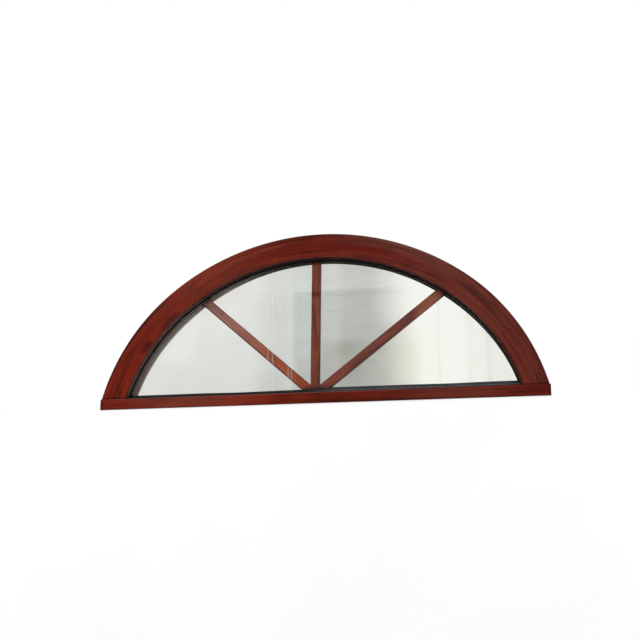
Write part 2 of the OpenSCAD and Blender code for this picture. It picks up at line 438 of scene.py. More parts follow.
def mahogany(name, shift, tones, side_tones, painted_sheen=(), knots=(), rim=None, streak_length=5.0, fineness=1.0,
             contrast=1.0, spread=(-0.35, 0.45)):
    """A wood film. tones and side_tones are its dark, middle and light colours to the left and right; the
    change between them is painted light and shade.

    painted_sheen is a painted milky sheen of reflected light: (along, reach, strength, how far it fades
    across). knots are dark marks:
    (along, across, reach along, reach across, strength). rim gives the edges their painted light, shade and
    sheen, and the arch its deep red.
    """
    wood = Finish(name)
    along, across, depth = wood.parts(wood.grain(shift))
    plain_along, plain_across, plain_depth = wood.parts(wood.grain())
    x_place = wood.parts(wood.place())[0]
    wander = wood.noise(wood.joined(along * 4, across * 9, depth * 9), detail=2) - 0.5
    swing = across + wander * SWAY

    def printed(length, width, detail, twist=0.0):
        """A noise that is stretched by length along the grain and by width across it."""
        place = wood.joined(along * length, swing * width, depth * width)
        return wood.noise(place, detail=detail, twist=twist)

    streaks = printed(streak_length, HAIR * fineness, 4)
    patches = printed(3.2, 24, 2)
    flames = printed(15, 62, 3, 0.6)
    pores = printed(60, 1100, 2)
    waves = (streaks - 0.5) * 1.5 + (patches - 0.5) * 0.8 + (flames - 0.5) * 0.9 + (pores - 0.5) * 0.7
    tone = 0.5 + waves * contrast
    for knot_along, knot_across, reach, height, strength in knots:
        mark = plain_across.near(knot_across, height) * plain_along.near(knot_along, reach)
        tone = tone - mark * (patches + 0.5) * strength
    share = tone.clamped()
    colours = []
    for dark, middle, light in (tones, side_tones):
        stops = [(0.1, dark), (0.5, middle), (0.9, light)]
        colours.append(wood.node("ShaderNodeValToRGB", {"stops": stops}, {"Fac": share})["Color"])
    # Painted light and shade: the film goes from the left tones to the right ones across the window.
    colour = wood.blend(x_place.rising(*spread), *colours)
    # Painted milky sheen of reflected light, fading across the face.
    for centre, reach, strength, fading in painted_sheen:
        kept = 1 - plain_across.rising(*PAINTED_SHEEN_FADES) * fading
        colour = wood.blend(plain_along.near(centre, reach) * kept * strength, colour, PAINTED_SHEEN_COLOUR)
    if rim:
        colour = rim(wood, colour, (plain_along, plain_across, plain_depth), patches)
    return wood.surface({
        "Base Color": colour,
        "Roughness": 0.42 + streaks * 0.16,
        "Specular IOR Level": 0.04,
        "Normal": wood.bumped(streaks * 0.6 + pores * 0.4, 0.12, 0.0004),
    })


# %% [markdown]
# ## Edges of the film
# The edges carry painted light and shade. At the outer edge the film is painted darker, as the shade of its
# rounded edge, most on the left, and a milky sheen is painted on it right of the crown; the middle of the
# crown keeps its deep red; and the side that is turned towards the glass is painted light on the left and
# painted shade, almost black, from the crown on. Places are metres along the arch from the crown and in
# from the outer edge. Separate materials for the edges would be simpler, but their borders would show as
# hard lines.

# %% Edges of the arch
OUTER_EDGE = (0.011, 0.003)
OUTER_LINE = (0.0045, 0.0015)
INNER_HALF = (0.034, 0.044)
INNER_EDGE = (0.050, 0.060)
LAST_EDGE = (0.0550, 0.0640)
TURNED_EDGE = (0.0646, 0.0650)
DEEP_MIDDLE = (0.038, 0.018)
RIGHT_END = (0.46, 0.64)
DEEP_RED = (0.104, 0.0050, 0.0024, 1)
RETURN_LIT_BROWN = (0.142, 0.026, 0.018, 1)
RETURN_LIT_GREY = (0.088, 0.040, 0.032, 1)
RETURN_SHADE_CROWN = (0.130, 0.024, 0.018, 1)
RETURN_SHADE_BLACK = paint(54, 35, 30)


def arch_face(wood, colour, along, across, patches):
    """The flat face: a painted milky sheen, deep red, and painted shade and lighter parts in its places."""
    outer = across.rising(*OUTER_EDGE)
    # Painted milky sheen on the outer edge, right of the crown.
    milky = outer * along.near(0.22, 0.24) * 0.13
    face = wood.blend(milky, colour, PAINTED_SHEEN_COLOUR)
    deep = across.near(*DEEP_MIDDLE) * along.near(0.06, 0.36) * (0.55 + patches * 0.35)
    face = wood.blend(deep.clamped(), face, DEEP_RED)
    # Painted shade of the rounded outer edge: at the left foot, on the right, and left of the crown.
    wear_and_edge_shade = outer * along.near(-0.575, 0.20) * (0.50 + patches * 0.50)
    right_edge_shade = outer * along.rising(0.34, 0.45) * 0.20
    crown_edge_shade = across.rising(*OUTER_LINE) * along.near(-0.12, 0.14) * 0.55
    end_shade = across.rising(*LAST_EDGE) * along.rising(*RIGHT_END) * 0.75
    face = wood.dimmed(face, (1 - wear_and_edge_shade) * (1 - right_edge_shade) * (1 - end_shade) * (1 - crown_edge_shade))
    warm = across.rising(*INNER_HALF) * along.absolute().rising(0.15, 0.30) * 0.14
    light_edge = across.rising(*INNER_EDGE) * along.near(0.36, 0.20) * 0.45
    return wood.dimmed(face, (1 + warm) * (1 + light_edge))


def arch_edges(wood, colour, grain, patches):
    """The face, and the side that faces the glass: painted light, brown to grey, on the left, and painted
    shade, black, from the crown on.
    """
    along, across, depth = grain
    face = arch_face(wood, colour, along, across, patches)
    # Painted light on the side that faces the glass on the left, and painted shade from the crown on.
    lit = wood.blend(depth.rising(0.001, 0.013), RETURN_LIT_BROWN, RETURN_LIT_GREY)
    dark = wood.blend(depth.rising(0.001, 0.008), RETURN_SHADE_CROWN, RETURN_SHADE_BLACK)
    side = wood.blend(along.rising(-0.46, -0.16), lit, dark)
    # Painted shade, darker still towards the right foot.
    side = wood.dimmed(side, 1 - along.rising(0.50, 0.64) * 0.6)
    return wood.blend(across.rising(*TURNED_EDGE), face, side)


# %% Edges of the sill and of the bars
SILL_TOP_HIGHLIGHT = (0.120, 0.056, 0.056, 1)
SILL_END = 0.5930
BAR_HALF_FACE = 0.0095
EDGE_BLUR = 0.0008


def sill_edges(wood, colour, grain, patches):
    """A milky highlight is painted on the top edge of the sill beside the rubber, painted shade on its
    lowest edge, and its ends are dark.
    """
    along, height, _ = grain
    # Painted highlight where the top edge catches the light from above.
    top_edge_highlight = height.rising(0.0255, 0.0280) * along.rising(0.34, 0.20) * (0.45 + patches * 0.5)
    face = wood.blend(top_edge_highlight.clamped(), colour, SILL_TOP_HIGHLIGHT)
    # Painted shade on the lowest edge, which faces down.
    lowest = height.rising(0.0035, 0.0010) * 0.45
    ends = along.absolute().rising(SILL_END, SILL_END + 0.0030) * 0.45
    return wood.dimmed(face, (1 - lowest) * (1 - ends))


def bar_edges(above, below):
    """The chamfers of a bar lie in shade. above and below say how much darker each of the two is."""
    def shaded(wood, colour, grain, patches):
        across = grain[1]
        high = across.rising(EDGE_BLUR - BAR_HALF_FACE, -EDGE_BLUR - BAR_HALF_FACE) * above
        low = across.rising(BAR_HALF_FACE - EDGE_BLUR, BAR_HALF_FACE + EDGE_BLUR) * below
        return wood.dimmed(colour, 1 - (high + low) * (0.75 + patches * 0.4))
    return shaded


# %% The colours of the film
def light_values(*colours):
    return tuple((*colour, 1) for colour in colours)


# On the arch, the sill and the back, the right tones are painted darker than the left ones, as painted light
# that falls off from the left.
LEFT_TONES = light_values((0.050, 0.0052, 0.0020), (0.122, 0.0078, 0.0016), (0.178, 0.0170, 0.0050))
RIGHT_TONES = light_values((0.046, 0.0090, 0.0068), (0.096, 0.0165, 0.0105), (0.130, 0.0250, 0.0150))
SILL_LEFT = light_values((0.060, 0.0060, 0.0020), (0.134, 0.0095, 0.0024), (0.185, 0.0180, 0.0060))
SILL_RIGHT = light_values((0.044, 0.0050, 0.0028), (0.093, 0.0105, 0.0050), (0.125, 0.0180, 0.0090))
CAP_TONES = light_values((0.030, 0.0020, 0.0015), (0.052, 0.0032, 0.0022), (0.075, 0.0060, 0.0040))
# The three bars carry one film. Their different tones, and the change of tone along the left and the right
# bar, are painted light and shade.
CENTRE_BAR = light_values((0.090, 0.0140, 0.0050), (0.185, 0.0350, 0.0120), (0.260, 0.0640, 0.0300))
RIGHT_BAR = light_values((0.075, 0.0140, 0.0080), (0.150, 0.0290, 0.0160), (0.205, 0.0470, 0.0290))
RIGHT_BAR_END = light_values((0.150, 0.0380, 0.0170), (0.230, 0.0640, 0.0300), (0.290, 0.0900, 0.0450))
LEFT_BAR_NEAR = light_values((0.130, 0.0160, 0.0050), (0.248, 0.0400, 0.0105), (0.330, 0.0700, 0.0260))
LEFT_BAR_FAR = light_values((0.170, 0.0650, 0.0500), (0.282, 0.1080, 0.0860), (0.370, 0.1600, 0.1300))
ARCH_PAINTED_SHEEN = ((-0.30, 0.28, 0.065, 0.35), (0.25, 0.25, 0.070, 0.95), (0.45, 0.30, 0.035, 0.45))
SILL_PAINTED_SHEEN = ((-0.34, 0.25, 0.095, 0), (0.36, 0.20, 0.055, 0))
# Below 0 a mark is lighter than the wood round it.
KNOTS = (
    (-0.468, 0.061, 0.050, 0.019, 0.80),
    (-0.570, 0.055, 0.034, 0.014, 0.80),
    (-0.018, 0.050, 0.040, 0.006, 0.45),
    (-0.090, 0.009, 0.120, 0.006, 0.50),
    (-0.120, 0.018, 0.110, 0.007, -0.35),
    (0.035, 0.017, 0.100, 0.003, -0.30),
)
print("knots and light streaks at their places:", len(KNOTS))

# %% The wood finishes
arch_wood = mahogany(
    "mahogany_film_arch", (0, 0, 0), LEFT_TONES, RIGHT_TONES,
    painted_sheen=ARCH_PAINTED_SHEEN, knots=KNOTS, rim=arch_edges)
sill_wood = mahogany(
    "mahogany_film_sill", (3.1, 0.4, 0.2), SILL_LEFT, SILL_RIGHT,
    painted_sheen=SILL_PAINTED_SHEEN, rim=sill_edges)
back_wood = mahogany("mahogany_film_back", (5.7, 1.3, 0.6), LEFT_TONES, RIGHT_TONES)
cap_wood = mahogany("mahogany_film_caps", (8.2, 2.1, 0.9), CAP_TONES, CAP_TONES)
bar_look = {"streak_length": 9.0, "fineness": 2.2, "contrast": 1.25}
centre_wood = mahogany(
    "mahogany_film_centre_bar", (1.9, 3.3, 1.7), CENTRE_BAR, CENTRE_BAR,
    rim=bar_edges(0.3, 0.4), **bar_look)
right_wood = mahogany(
    "mahogany_film_right_bar", (4.4, 2.6, 1.2), RIGHT_BAR, RIGHT_BAR_END,
    rim=bar_edges(0.25, 0.1), spread=(0.255, 0.285), **bar_look)
left_wood = mahogany(
    "mahogany_film_left_bar", (2.7, 4.1, 1.1), LEFT_BAR_FAR, LEFT_BAR_NEAR,
    rim=bar_edges(0.35, 0.85), spread=(-0.24, -0.08), **bar_look)
print("nodes in the film of the arch:", len(arch_wood.node_tree.nodes))

# %% [markdown]
# ## Rubber, polyamide, sealant and the metal of the spacer
# Between the wood film and the glass lies a narrow dark band. It is made of several things: black rubber
# gaskets, the black edge of the sealed unit, and the grey face of the spacer, which is rolled metal with
# fine lines along it. Each has its own roughness, because roughness is what tells black things apart.

# %% The dark finishes
def rubber(name, ground, wear_and_edge_shade, wear_scale):
    """Extruded rubber: nearly black, dull, a little paler where hands have rubbed it."""
    skin = Finish(name)
    place = skin.place()
    clouds = skin.noise(skin.stretched(place, (14, 60, 60)), detail=3)
    specks = skin.noise(place, scale=wear_scale, detail=2)
    colour = skin.blend((clouds * 0.7 + specks * 0.5).rising(0.45, 0.85), ground, wear_and_edge_shade)
    return skin.surface({
        "Base Color": colour,
        "Roughness": 0.5 + specks * 0.25,
        "Specular IOR Level": 0.15,
        "Normal": skin.bumped(specks, 0.25, 0.0003),
    })


DARK_BAND = paint(34, 26, 25)
FRONT_BLACK = paint(44, 35, 33)
SEAL_BLACK = paint(22, 17, 16)
# Painted light: the black sealing is painted lighter at the crown and on the left.
SEAL_LIT_CROWN = paint(42, 34, 32)
SEAL_LIT_LEFT = paint(38, 30, 28)
SPACER_FACE = (0.0682, 0.0687)


def left_glow(along):
    """1 on the left-hand haunch, which faces the light, falling to 0 before the crown."""
    return along.rising(-0.10, -0.28)


def spacer_metal():
    """Rolled metal on its inner face, black sealing on the two sides that meet the panes.

    The inner face is painted in shade, black, except on the left haunch, where painted light grows towards
    the back. The sealing is painted lighter at the crown and on the left.
    """
    metal = Finish("spacer_metal")
    along, across, depth = metal.parts(metal.grain())
    lines = metal.noise(metal.joined(along * 3, across * 10, depth * 900), detail=2)
    clouds = metal.noise(metal.joined(along * 12, across * 10, depth * 60), detail=2)
    # Painted light on the inner face, growing towards the back.
    light = depth.rising(0.022, 0.044) + (lines - 0.5) * 0.35 + (clouds - 0.5) * 0.25
    lit = metal.blend(light.clamped(), paint(54, 46, 44), paint(106, 94, 87))
    left = left_glow(along)
    seal = metal.blend(along.near(-0.02, 0.30), SEAL_BLACK, SEAL_LIT_CROWN)
    seal = metal.blend(left, seal, SEAL_LIT_LEFT)
    # Painted shade: the inner face is black away from the left haunch.
    face = metal.blend(left, SEAL_BLACK, lit)
    colour = metal.blend(across.rising(*SPACER_FACE), seal, face)
    return metal.surface({
        "Base Color": colour,
        "Roughness": 0.45 + lines * 0.2,
        "Specular IOR Level": 0.15,
    })


def lip_rubber_painted_light(name, black, edge, faces, reach, low, high):
    """A lip of the arch: black, with painted light in grey where it faces the light, on the left.

    edge gives where across the lip the painted light begins and is full, faces where in depth it ends and is
    full, and reach where along the arch it begins and is full.
    """
    skin = Finish(name)
    along, across, depth = skin.parts(skin.grain())
    lines = skin.noise(skin.joined(along * 4, across * 500, depth * 500), detail=2)
    inner = across.rising(*edge) * 0.8 + lines * 0.3
    lit = skin.blend(inner.clamped(), low, high)
    front = along.rising(*reach) * depth.rising(*faces)
    colour = skin.blend(front, black, lit)
    return skin.surface({
        "Base Color": colour,
        "Roughness": 0.6 + lines * 0.2,
        "Specular IOR Level": 0.08,
        "Normal": skin.bumped(lines, 0.03, 0.0003),
    })


black_rubber = rubber("gasket_rubber", paint(16, 14, 14), paint(34, 30, 29), 700)
# The grey on the left of both lips is painted light.
front_lip_rubber = lip_rubber_painted_light(
    "gasket_rubber_front_lip", FRONT_BLACK, (0.0660, 0.0664), (0.021, 0.020), (-0.22, -0.50),
    paint(62, 51, 48), paint(104, 90, 87))
back_lip_rubber = lip_rubber_painted_light(
    "gasket_rubber_back_lip", DARK_BAND, (0.0605, 0.0685), (0.0508, 0.0485), (-0.10, -0.28),
    paint(140, 121, 112), paint(190, 172, 162))
strip_plastic = rubber("polyamide", paint(22, 22, 23), paint(40, 40, 42), 1400)
block_plastic = rubber("block_plastic", paint(40, 42, 44), paint(66, 68, 70), 300)
edge_seal = rubber("sealant", paint(14, 14, 15), paint(30, 30, 31), 250)
spacer_finish = spacer_metal()

# %% [markdown]
# ## Glass that mirrors a pale room
# Clear glass shows two things at once: what lies behind it, and a faint mirror of what lies before it.
# Here it stands before white and mirrors a pale workshop with bright window strips. A Transparent shader
# lets the light behind through unbent, which is right for a flat pane, and a share of a soft film on top
# stands for the mirrored room. Its share and its colour change over the pane, as soft patches that are
# worked out from the place on the glass. A real room before the window would mirror truly from all sides,
# but it would be a second scene to build.

# %% The two panes
def pane(name, tint, film_of, share_of):
    """Flat glass with a film of mirrored light. Two functions give its colour and share from x and z."""
    glass = Finish(name)
    x_place, _, z_place = glass.parts(glass.place())
    share = share_of(glass, x_place, z_place)
    clear = glass.node("ShaderNodeBsdfTransparent", None, {"Color": tint})[0]
    film = film_of(glass, x_place, z_place)
    values = {"Base Color": film, "Roughness": 0.08, "Specular IOR Level": 0.6}
    mirror = glass.node("ShaderNodeBsdfPrincipled", None, values)[0]
    glass.shown(glass.node("ShaderNodeMixShader", None, {0: share, 1: clear, 2: mirror})[0])
    return glass.owner


# %% The mirrored room
WALL = 0.115
CORNER = 0.075
DOOR = 0.068
HALL = 0.050
HALL_LOW = 0.072
# Each stripe or line of light has a place, a reach and a strength.
STRIPES = ((0.326, 0.009, 0.018), (0.405, 0.016, 0.024), (0.452, 0.013, 0.032))


def room_share(glass, x_place, z_place):
    """How strong the mirrored room is: a wall to the left, a hall in the middle, then an opening."""
    corner = x_place.rising(-0.19, -0.12) * CORNER
    corner_low = x_place.near(-0.125, 0.11) * z_place.rising(0.12, 0.05) * 0.050
    corner_high = x_place.near(-0.13, 0.13) * z_place.rising(0.28, 0.34) * 0.045
    door = x_place.rising(-0.074, -0.056) * z_place.rising(0.322, 0.314) * DOOR
    door_low = x_place.rising(-0.06, -0.045) * x_place.rising(0.06, 0.0) * z_place.rising(0.15, 0.11) * 0.045
    hall = x_place.rising(0.045, 0.085) * HALL
    in_hall = x_place.rising(0.0, 0.03) * x_place.rising(0.20, 0.11)
    hall_low = in_hall * z_place.rising(0.19, 0.155) * HALL_LOW
    hall_core = x_place.near(0.085, 0.055) * z_place.near(0.155, 0.05) * 0.03
    by_wall = x_place.rising(-0.10, -0.20) * x_place.rising(-0.46, -0.38)
    low_left = by_wall * z_place.rising(0.22, 0.06) * 0.018
    high_left = x_place.near(-0.26, 0.10) * z_place.near(0.26, 0.10) * 0.034
    left_room = WALL + corner + corner_low - corner_high + door + door_low
    room = left_room + hall + hall_low + hall_core + low_left
    leaning = x_place + z_place.rising(0.13, 0.29) * 0.032
    opening = leaning.rising(0.30, 0.155)
    post = x_place.near(0.255, 0.035) * z_place.rising(0.20, 0.13) * 0.022
    far_wall = x_place.rising(0.37, 0.47) * 0.045
    share = (room - high_left) * opening + post + far_wall + 0.016
    for centre, reach, strength in STRIPES:
        share = x_place.near(centre, reach) * strength + share
    blotches = glass.noise(glass.stretched(glass.place(), (9, 1, 13)), detail=4) - 0.5
    smears = glass.noise(glass.stretched(glass.place(), (14, 1, 60)), detail=3, twist=0.8) - 0.5
    share = share * (1 + blotches * 0.30 + smears * x_place.rising(0.0, 0.03) * 0.22)
    shelf = z_place.near(0.303, 0.006) * x_place.rising(0.01, 0.03) * x_place.rising(0.27, 0.20) * 0.03
    door_side = x_place.near(-0.049, 0.003) * z_place.rising(0.318, 0.314)
    frame_of_door = door_side * z_place.rising(0.14, 0.20) * 0.025
    return (share + shelf + frame_of_door).clamped()


def room_colour(glass, x_place, z_place):
    """The colour of the room: pale green to the left, greener at the door, and neutral in the low hall."""
    hall = glass.blend(z_place.rising(0.15, 0.19), paint(72, 86, 62), paint(72, 96, 84))
    colour = glass.blend(x_place.rising(-0.03, 0.05), paint(72, 103, 112), hall)
    door = x_place.near(-0.03, 0.05) * z_place.rising(0.17, 0.20)
    return glass.blend(door, colour, paint(72, 122, 120))


def inset_of(x_place, z_place):
    """How far a point of the pane lies in from the outer edge of the arch."""
    side = x_place.absolute()
    height = z_place - CROWN_Z
    crown = CROWN_RADIUS - (side * side + height * height).root()
    across = side - HAUNCH_X
    up = z_place - HAUNCH_Z
    haunch = HAUNCH_RADIUS - (across * across + up * up).root()
    on_haunch = (side * 4 - height * 3).rising(-0.001, 0.001)
    return crown + (haunch - crown) * on_haunch


# %% Light on the outer pane
LIGHT_LINES = (
    (-0.126, 0.0035, 0.10),
    (-0.1135, 0.0035, 0.10),
    (-0.0705, 0.0033, 0.10),
    (-0.0615, 0.0033, 0.10),
)
DARK_RIM = (0.072, 0.080)


def door_top(x_place, z_place, reach):
    """The top of the mirrored door, a thin dark line that shows only where it crosses the centre bar."""
    return x_place.near(0.0, 0.018) * z_place.near(0.303, reach)


def warm_veil(x_place, z_place):
    """A warm patch of painted reflection low on the glass, to the right of the middle."""
    beside = x_place.rising(0.200, 0.235) * x_place.rising(0.35, 0.28)
    return beside * z_place.rising(0.21, 0.14) * z_place.rising(0.042, 0.052)


def strip_share(glass, x_place, z_place):
    """Thin upright lines of light and the warm veil. The lines end before the dark rim."""
    haze = 0.006 + glass.noise(glass.stretched(glass.place(), (9, 1, 2)), detail=2) * 0.012
    lean = x_place + z_place * 0.02
    for place, reach, strength in LIGHT_LINES:
        haze = lean.near(place, reach) * strength + haze
    haze = haze * inset_of(x_place, z_place).rising(*DARK_RIM)
    return (haze + warm_veil(x_place, z_place) * 0.026 + door_top(x_place, z_place, 0.004) * 0.26).clamped()


def strip_colour(glass, x_place, z_place):
    """White light, warm in the veil, and nearly black at the top of the door."""
    light = glass.blend(warm_veil(x_place, z_place), paint(230, 230, 224), paint(252, 244, 150))
    return glass.blend((door_top(x_place, z_place, 0.008) * 9).clamped(), light, paint(14, 2, 2))


outer_glass = pane("pane_glass_outer", (0.985, 0.983, 0.972, 1), strip_colour, strip_share)
inner_glass = pane("pane_glass_inner", (0.985, 0.984, 0.966, 1), room_colour, room_share)

# %% [markdown]
# ## The arch
# The arch is two aluminium shells with polyamide strips between them, which keep the cold out. The front
# shell has a leg that covers the edge of the glass; the back shell carries a clip-on bead instead. Their
# sections are drawn as insets from the outer edge and depths behind the front face.

# %% Shells and bead of the arch
front_section = softened([
    (0, 0, 1.2), (65, 0, 0.5), (65, 15, 0.4), (45, 15, 0.2), (45, 24, 0.5), (0, 24, 0.8)])
back_section = softened([(0, 41, 0.8), (45, 41, 0.5), (45, 65, 0.3), (0, 65, 1.2)])
bead_section = softened([(45.2, 51, 0.3), (65, 51, 0.8), (57, 65, 1.2), (45.2, 65, 0.3)])
for name, section, material, slot, node in (
    ("arch_front_profile", front_section, arch_wood, "wood_look_front", "arch_front_shell"),
    ("arch_back_profile", back_section, back_wood, "wood_look_back", "arch_back_shell"),
    ("arch_bead_profile", bead_section, back_wood, "wood_look_back", "arch_glazing_bead"),
):
    settle(arched(name, section, SILL_TOP), material, slot, node)

# %% [markdown]
# ## The sill
# The sill is a channel: two shells with a strip above and one below, closed by a plate at each end. Its
# top edge is softened more than the rest, because that is the edge that shows as a thin line of light
# where the arch stands on it.

# %% Shells and end plates of the sill
CAP_THICKNESS = 3
CHANNEL_END = cad_box[1].x - CAP_THICKNESS * MM
sill_front = softened([
    (0, 0, 1.2), (24, 0, 0.5), (24, 14, 0.5), (15, 14, 0.2), (15, 29, 0.8), (0, 29, 1.4)])
sill_back = softened([
    (65, 0, 1.2), (65, 29, 1.4), (51, 29, 0.8), (51, 14, 0.2), (41, 14, 0.5), (41, 0, 0.5)])
for name, section, material, slot, node in (
    ("sill_front_profile", sill_front, sill_wood, "wood_look_front", "sill_front_shell"),
    ("sill_back_profile", sill_back, back_wood, "wood_look_back", "sill_back_shell"),
):
    settle(straight(name, section, -CHANNEL_END, CHANNEL_END), material, slot, node)

# %% The end plates
cap_section = softened([(0, 0, 1), (65, 0, 1), (65, 29, 1), (0, 29, 1)])
SEAM = 0.2 * MM
for side, word in ((-1, "left"), (1, "right")):
    outer_end = side * cad_box[1].x
    inner_end = side * (CHANNEL_END + SEAM)
    plate = straight(word + "_end_plate", cap_section, min(outer_end, inner_end), max(outer_end, inner_end))
    soft = plate.modifiers.new("soft_edges", "BEVEL")
    soft.width = 0.5 * MM
    soft.segments = 2
    plate.modifiers.move(1, 0)
    settle(plate, cap_wood, "wood_look_front", word + "_end_cap")

# %% [markdown]
# ## Gaskets
# The rubber that holds the glass shows as a lip beyond the leg of the frame. Both lips are black, with
# painted light in grey on the left, where they face the light; the one behind the glass catches more
# light. Along the sill the front gasket was pushed in by hand: on the right-hand half it lies in shallow
# waves, and a blue-grey sheen is painted on it.

# %% Gaskets of the arch
GASKET_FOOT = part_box("sill_front_gasket")[1].z
front_lip = softened([(56.5, 15, 0.3), (66.5, 15, 1.4), (66.5, 19, 0.8), (56.5, 19, 0.3)])
back_lip = softened([(58.5, 47, 0.3), (68.5, 47, 0.8), (68.5, 51, 1.4), (58.5, 51, 0.3)])
front_gasket = arched("arch_front_lip", front_lip, GASKET_FOOT)
settle(front_gasket, front_lip_rubber, "gasket_rubber", "arch_front_gasket")


def eased(value, low, high):
    """0 below low, 1 above high, and a smooth rise between them."""
    share = min(max((value - low) / (high - low), 0), 1)
    return share * share * (3 - 2 * share)


LEFT_SWELL = 8.2 * MM
RIGHT_SWELL = 3.6 * MM


def haunch_swell(angle):
    """The lip behind the glass leans inwards and backwards at the haunches; on the left this widens the band
    of painted light that it carries.
    """
    if angle < 0:
        lean = LEFT_SWELL * eased(-angle, 0.06, 0.84)
    else:
        lean = RIGHT_SWELL * eased(angle, 0.30, 0.75) * (1 - eased(angle, 0.80, 1.22))
    return lean * 0.7, lean * 0.6


back_gasket = arched("arch_back_lip", back_lip, GASKET_FOOT, haunch_swell)
settle(back_gasket, back_lip_rubber, "gasket_rubber", "arch_back_gasket")

# %% Gaskets of the sill
GASKET_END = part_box("sill_front_gasket")[1].x
BACK_GASKET_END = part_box("sill_back_gasket")[1].x
TOP_BAND = 3 * MM
SHORT_WAVES = 95
LONG_WAVES = 41
WAVES_GROW = 0.05


def hand_laid(along, depth, height):
    """Shallow waves in the top of the rubber, only on the right-hand half."""
    if height < GASKET_FOOT - TOP_BAND or along < 0:
        return 0
    grow = min(along / WAVES_GROW, 1)
    short_wave = 0.25 * math.sin(along * SHORT_WAVES)
    long_wave = 0.25 * math.sin(along * LONG_WAVES + 1)
    return -grow * (0.5 + short_wave + long_wave) * MM


def shining_rubber():
    """The front gasket of the sill: black to the left; to the right a blue-grey sheen is painted on its
    upper part, which is also smoother.
    """
    skin = Finish("gasket_rubber_sill")
    x_place, _, z_place = skin.parts(skin.place())
    sheen = skin.noise(skin.stretched(skin.place(), (26, 40, 260)), detail=3, twist=0.6)
    # Painted sheen: blue-grey on the right-hand half, on the upper part of the lip only.
    right = x_place.rising(-0.02, 0.05) * (0.2 + sheen * 1.1).clamped() * z_place.rising(0.0325, 0.0345)
    colour = skin.blend(right.clamped(), paint(17, 14, 14), paint(104, 101, 106))
    return skin.surface({
        "Base Color": colour,
        "Roughness": 0.6 - right * 0.25,
        "Specular IOR Level": 0.15,
        "Normal": skin.bumped(sheen, 0.4, 0.0006),
    })


sill_lip = softened([(15, 20, 0.3), (19, 20, 0.3), (19, 36, 0.8), (15, 36, 1.4)])
sill_gasket = straight("sill_front_lip", sill_lip, -GASKET_END, GASKET_END, 220, hand_laid)
settle(sill_gasket, shining_rubber(), "gasket_rubber", "sill_front_gasket")
back_sill_lip = softened([(47, 20, 0.3), (51, 20, 0.3), (51, 36, 1.4), (47, 36, 0.8)])
back_sill_gasket = straight("sill_back_lip", back_sill_lip, -BACK_GASKET_END, BACK_GASKET_END)
settle(back_sill_gasket, black_rubber, "gasket_rubber", "sill_back_gasket")

# %% [markdown]
# ## Spacer
# A metal spacer keeps the panes apart all round. Its inner face carries painted light, a grey gradient,
# inside the left-hand side of the arch, and painted shade elsewhere. Along the sill the sealed unit sits a
# little askew, so the upper edge of the spacer is moved there, point by point. Turning the whole piece
# would push its lower edge out of place.

# %% Spacer of the arch and of the sill
SPACER_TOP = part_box("sill_spacer")[1].z
SPACER_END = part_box("sill_spacer")[1].x
spacer_section = softened([(61, 25, 0.3), (69, 25, 0.4), (69, 41, 0.4), (61, 41, 0.3)])
settle(arched("arch_spacer_bar", spacer_section, SPACER_TOP), spacer_finish, "spacer_metal", "arch_spacer")
sill_spacer_section = softened([(25, 35, 0.3), (41, 35, 0.3), (41, 43, 0.4), (25, 43, 0.4)])


# How far the edge moves in mm, how much that changes at one place, and where that place is in metres.
LEFT_DIP = (1.3, 1.2, -0.20)
RIGHT_RISE = (2.1, 1.0, 0.34)
LEAN_REACH = 0.13


def unit_lean(along, depth, height):
    """The sealed unit sits a little askew: its lower edge is lower to the left and higher to the right."""
    if height < SPACER_TOP - TOP_BAND:
        return 0
    right = 1 - eased(-along, -0.05, 0.05)
    dip, deeper, dip_place = LEFT_DIP
    rise, lower, rise_place = RIGHT_RISE
    left_dip = dip + deeper * (1 - eased(abs(along - dip_place), 0, LEAN_REACH))
    right_rise = rise - lower * (1 - eased(abs(along - rise_place), 0, LEAN_REACH))
    return (right_rise * right - left_dip * (1 - right)) * MM


def sill_spacer_metal():
    """The sealed edge along the sill: black to the left, with a blue-grey sheen to the right."""
    metal = Finish("spacer_metal_sill")
    x_place, _, z_place = metal.parts(metal.place())
    sheen = metal.noise(metal.stretched(metal.place(), (22, 40, 300)), detail=3, twist=0.6)
    right = x_place.rising(0.02, 0.07) * (sheen * 1.8 - 0.35).clamped()
    return metal.surface({
        "Base Color": metal.blend(right, paint(25, 19, 18), paint(66, 68, 76)),
        "Roughness": 0.55,
        "Specular IOR Level": 0.12,
    })


sill_spacer = straight("sill_spacer_bar", sill_spacer_section, -SPACER_END, SPACER_END, 180, unit_lean)
settle(sill_spacer, sill_spacer_metal(), "spacer_metal", "sill_spacer")

# %% [markdown]
# ## Bars between the panes
# The three bars fan out from one point behind the sill. Each is a flat tube with chamfered edges. It is
# drawn as a long prism in its own direction and then cut by planes: level at the spacer, and upright at
# the sides of the centre bar. Its far end runs a millimetre into the spacer, which hides the end.

# %% Build and cut a bar
HUB_Z = 28 * MM
BAR_MIDDLE = 33 * MM
BAR_WIDTH = 25
BAR_DEPTH = 10
CHAMFER = (3, 1.5)
SPACER_INSET = 69 * MM
INTO_SPACER = 1 * MM
BAR_STEPS = 24
BAR_START = -0.02
REACH_LIMITS = (0.2, 0.5)
HALVINGS = 40


def bar_outline():
    """The section of a bar, as (across, depth) points."""
    half_width = BAR_WIDTH / 2
    half_depth = BAR_DEPTH / 2
    corners = []
    for side, face, first in ((1, -1, 0), (1, 1, 1), (-1, 1, 0), (-1, -1, 1)):
        on_face = (side * (half_width - CHAMFER[0]), face * half_depth, 0.5)
        on_edge = (side * half_width, face * (half_depth - CHAMFER[1]), 0.5)
        corners += [on_face, on_edge] if first == 0 else [on_edge, on_face]
    return softened(corners)


